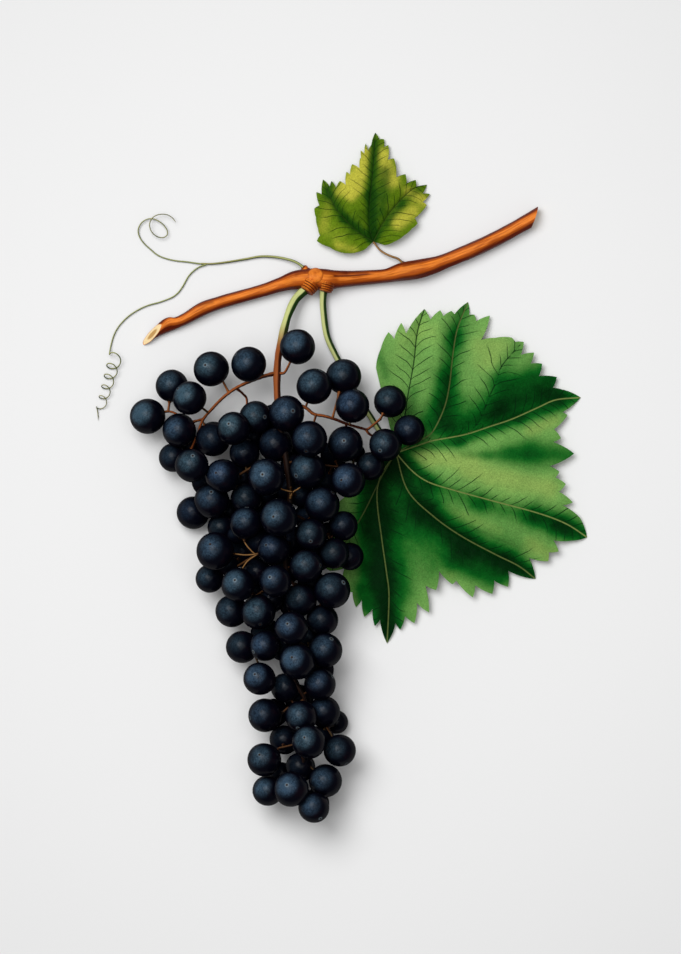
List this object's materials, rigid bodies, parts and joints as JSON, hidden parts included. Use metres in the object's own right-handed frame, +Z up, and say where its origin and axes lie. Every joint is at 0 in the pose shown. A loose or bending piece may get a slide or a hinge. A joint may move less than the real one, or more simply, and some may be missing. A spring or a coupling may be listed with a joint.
{
  "type": "bunch of grapes on a cut cane",
  "caption": "Long tapering bunch of dark blue grapes lying flat, on a cut piece of vine cane with a large and a small toothed leaf and a forked curling tendril.",
  "frame": {"origin": "centre of the bounding box at the table that the plant lies on", "axes": "+Y along the bunch from its tail to the cane, +X to the large leaf's side, +Z up from the table"},
  "size_m": [0.2214, 0.3106, 0.0469],
  "materials": {
    "grape_skin": "satin with a waxy bloom",
    "cane_bark": "satin",
    "leaf_green": "matte",
    "young_leaf_green": "matte",
    "tendril_green": "matte"
  },
  "bodies": {
    "root": {"bunch": "grape_skin", "cane": "cane_bark", "large_leaf": "leaf_green", "small_leaf": "young_leaf_green", "tendril": "tendril_green"}
  },
  "joints": []
}
